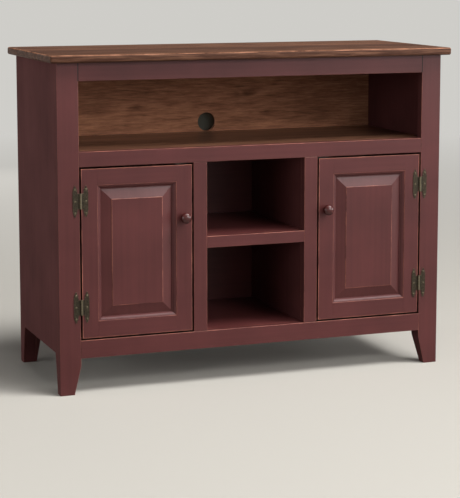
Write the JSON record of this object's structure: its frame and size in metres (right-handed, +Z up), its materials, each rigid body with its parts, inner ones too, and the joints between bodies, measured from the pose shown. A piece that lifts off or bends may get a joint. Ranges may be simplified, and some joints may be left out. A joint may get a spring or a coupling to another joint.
{
  "type": "tv cabinet",
  "caption": "Painted wooden media cabinet on tapered feet with a plank top, an open media bay with a cable hole, raised panel doors on surface hinges and open middle shelves.",
  "frame": {"origin": "on the floor, below the middle of the overall box, which runs from the knobs to the rear edge of the top", "axes": "+X along the front to the right, +Y from the doors to the back, +Z up"},
  "size_m": [1.068, 0.4445, 0.835],
  "materials": {
    "painted_wood": "satin burgundy paint, rubbed through along the edges",
    "knob_wood": "gloss burgundy paint",
    "stained_wood": "brown stain under satin lacquer",
    "bare_wood": "planed and unfinished",
    "hinge_metal": "aged, dull",
    "steel": "zinc plated",
    "catch_plastic": "moulded"
  },
  "bodies": {
    "cabinet": {"bottom_panel": "painted_wood", "bottom_rail": "painted_wood", "catch_blocks": "bare_wood", "centre_shelf": "painted_wood", "centre_shelf_rail": "painted_wood", "frame_hinge_screws": "hinge_metal", "hinge_pins": "hinge_metal", "left_adjustable_shelf": "painted_wood", "left_divider": "painted_wood", "left_front_foot_block": "painted_wood", "left_lower_hinge_frame_leaf": "hinge_metal", "left_magnetic_catch": "catch_plastic", "left_mullion": "painted_wood", "left_rear_foot_block": "painted_wood", "left_side_panel": "painted_wood", "left_stile": "painted_wood", "left_top_cleat": "bare_wood", "left_upper_hinge_frame_leaf": "hinge_metal", "lower_back_panel": "painted_wood", "media_shelf": "stained_wood", "middle_rail": "painted_wood", "rear_top_rail": "bare_wood", "right_adjustable_shelf": "painted_wood", "right_divider": "painted_wood", "right_front_foot_block": "painted_wood", "right_lower_hinge_frame_leaf": "hinge_metal", "right_magnetic_catch": "catch_plastic", "right_mullion": "painted_wood", "right_rear_foot_block": "painted_wood", "right_side_panel": "painted_wood", "right_stile": "painted_wood", "right_top_cleat": "bare_wood", "right_upper_hinge_frame_leaf": "hinge_metal", "shelf_pins": "steel", "top_board": "stained_wood", "top_rail": "painted_wood", "top_screws": "steel", "upper_back_panel": "stained_wood"},
    "left_door": {"left_door_bottom_rail": "painted_wood", "left_door_hinge_screws": "hinge_metal", "left_door_hinge_stile": "painted_wood", "left_door_lock_stile": "painted_wood", "left_door_panel": "painted_wood", "left_door_top_rail": "painted_wood", "left_knob": "knob_wood", "left_knob_screw": "steel", "left_lower_hinge_door_leaf": "hinge_metal", "left_strike_plate": "steel", "left_upper_hinge_door_leaf": "hinge_metal"},
    "right_door": {"right_door_bottom_rail": "painted_wood", "right_door_hinge_screws": "hinge_metal", "right_door_hinge_stile": "painted_wood", "right_door_lock_stile": "painted_wood", "right_door_panel": "painted_wood", "right_door_top_rail": "painted_wood", "right_knob": "knob_wood", "right_knob_screw": "steel", "right_lower_hinge_door_leaf": "hinge_metal", "right_strike_plate": "steel", "right_upper_hinge_door_leaf": "hinge_metal"}
  },
  "joints": [
    {"name": "left_door_hinge", "type": "hinge", "parent": "cabinet", "child": "left_door", "pos_m": [-0.4585, -0.1985, 0.349], "axis": [0, 0, -1], "range_deg": [0, 180]},
    {"name": "right_door_hinge", "type": "hinge", "parent": "cabinet", "child": "right_door", "pos_m": [0.4585, -0.1985, 0.349], "axis": [0, 0, 1], "range_deg": [0, 180]}
  ]
}
